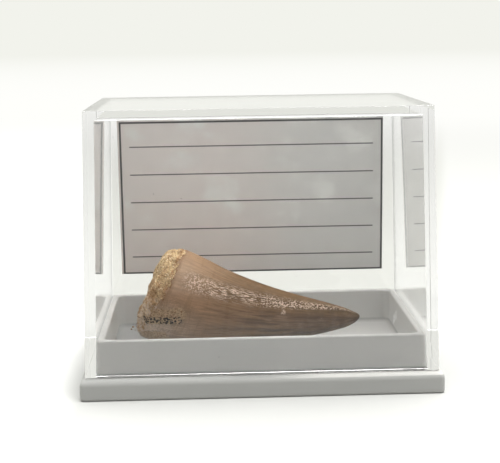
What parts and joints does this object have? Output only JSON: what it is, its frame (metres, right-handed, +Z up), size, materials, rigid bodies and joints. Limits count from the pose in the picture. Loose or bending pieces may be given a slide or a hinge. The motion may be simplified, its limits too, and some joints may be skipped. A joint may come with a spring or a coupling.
{
  "type": "fossil mosasaurus tooth in a display box",
  "caption": "Fossil marine reptile tooth, a curved pointed crown with a rough root remnant, lying in the tray of a small clear lift-off display box with a bordered paper card.",
  "frame": {"origin": "middle of the base's underside, on the surface the box stands on", "axes": "+X to the right along the tooth towards its tip, +Y to the back where the card is, +Z up"},
  "size_m": [0.058, 0.0392, 0.0456],
  "materials": {
    "base_plastic": "satin",
    "clear_plastic": "polished",
    "card": "matte",
    "fossil": "satin"
  },
  "bodies": {
    "root": {"base": "base_plastic", "lid": "clear_plastic", "label": "card", "tooth": "fossil"}
  },
  "joints": []
}
